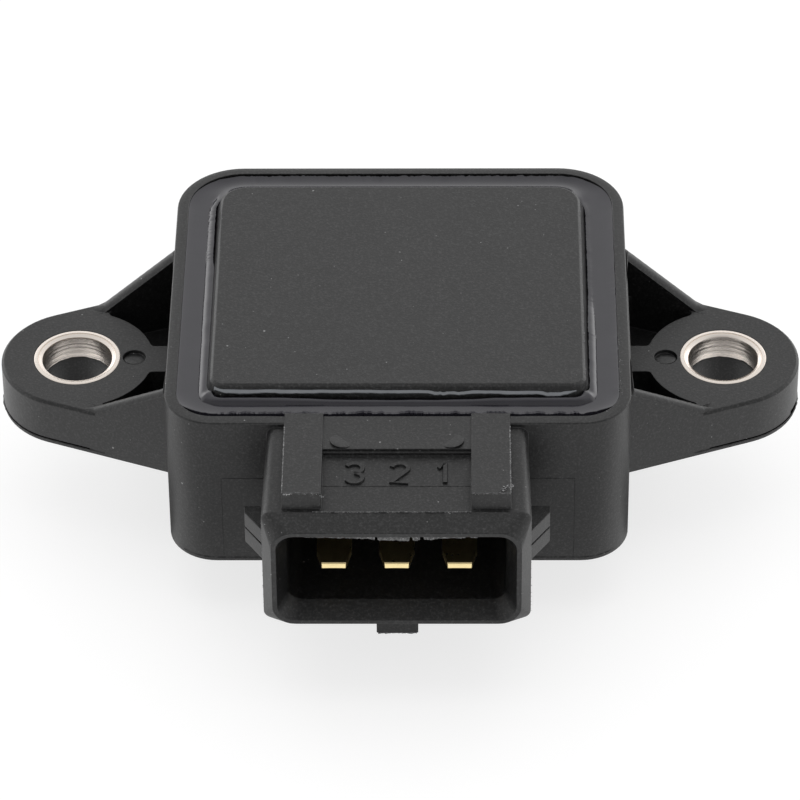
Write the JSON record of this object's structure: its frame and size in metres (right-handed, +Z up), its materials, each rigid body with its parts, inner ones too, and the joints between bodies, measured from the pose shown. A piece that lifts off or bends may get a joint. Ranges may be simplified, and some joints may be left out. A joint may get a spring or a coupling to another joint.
{
  "type": "throttle position sensor",
  "caption": "Flanged rotary position sensor: square sealed body with bushed fixing ears, a blade-terminal plug socket, and a rotor with a flatted shaft socket in a sealed spigot below.",
  "frame": {"origin": "on the rotor axis, in the plane of the body's underside", "axes": "+Z up through the cover, +X along the line of the two fixing holes, -Y out of the plug socket"},
  "size_m": [0.0666, 0.0459, 0.0211],
  "materials": {
    "housing_plastic": "black glass-filled moulding with a fine matt grain",
    "cover_plastic": "black matt moulding, finely grained",
    "sealing_resin": "poured black resin, glossy",
    "plated_steel": "turned steel, nickel plated",
    "gold_contact": "gold-finished contact alloy",
    "board": "bare laminate",
    "carbon_film": "printed carbon film",
    "silver_film": "printed silver film",
    "solder": "bright solder",
    "seal_rubber": "matt moulded rubber",
    "rotor_plastic": "dark moulded bearing plastic",
    "spring_steel": "rolled spring strip"
  },
  "bodies": {
    "housing": {"housing": "housing_plastic", "cover": "cover_plastic", "sealing_compound": "sealing_resin", "left_bushing": "plated_steel", "right_bushing": "plated_steel", "terminal_1": "gold_contact", "terminal_2": "gold_contact", "terminal_3": "gold_contact", "resistor_board": "board", "resistance_track": "carbon_film", "collector_track": "silver_film", "series_resistor": "carbon_film", "conductor_prints": "silver_film", "solder_joints": "solder", "o_ring": "seal_rubber"},
    "rotor": {"rotor": "rotor_plastic", "shaft_spring": "spring_steel", "wiper_arm": "spring_steel", "resistance_brush": "gold_contact", "collector_brush": "gold_contact"}
  },
  "joints": [
    {"name": "rotor_turn", "type": "hinge", "parent": "housing", "child": "rotor", "pos_m": [0, 0, 0], "axis": [0, 0, 1], "range_deg": [0, 95]}
  ]
}
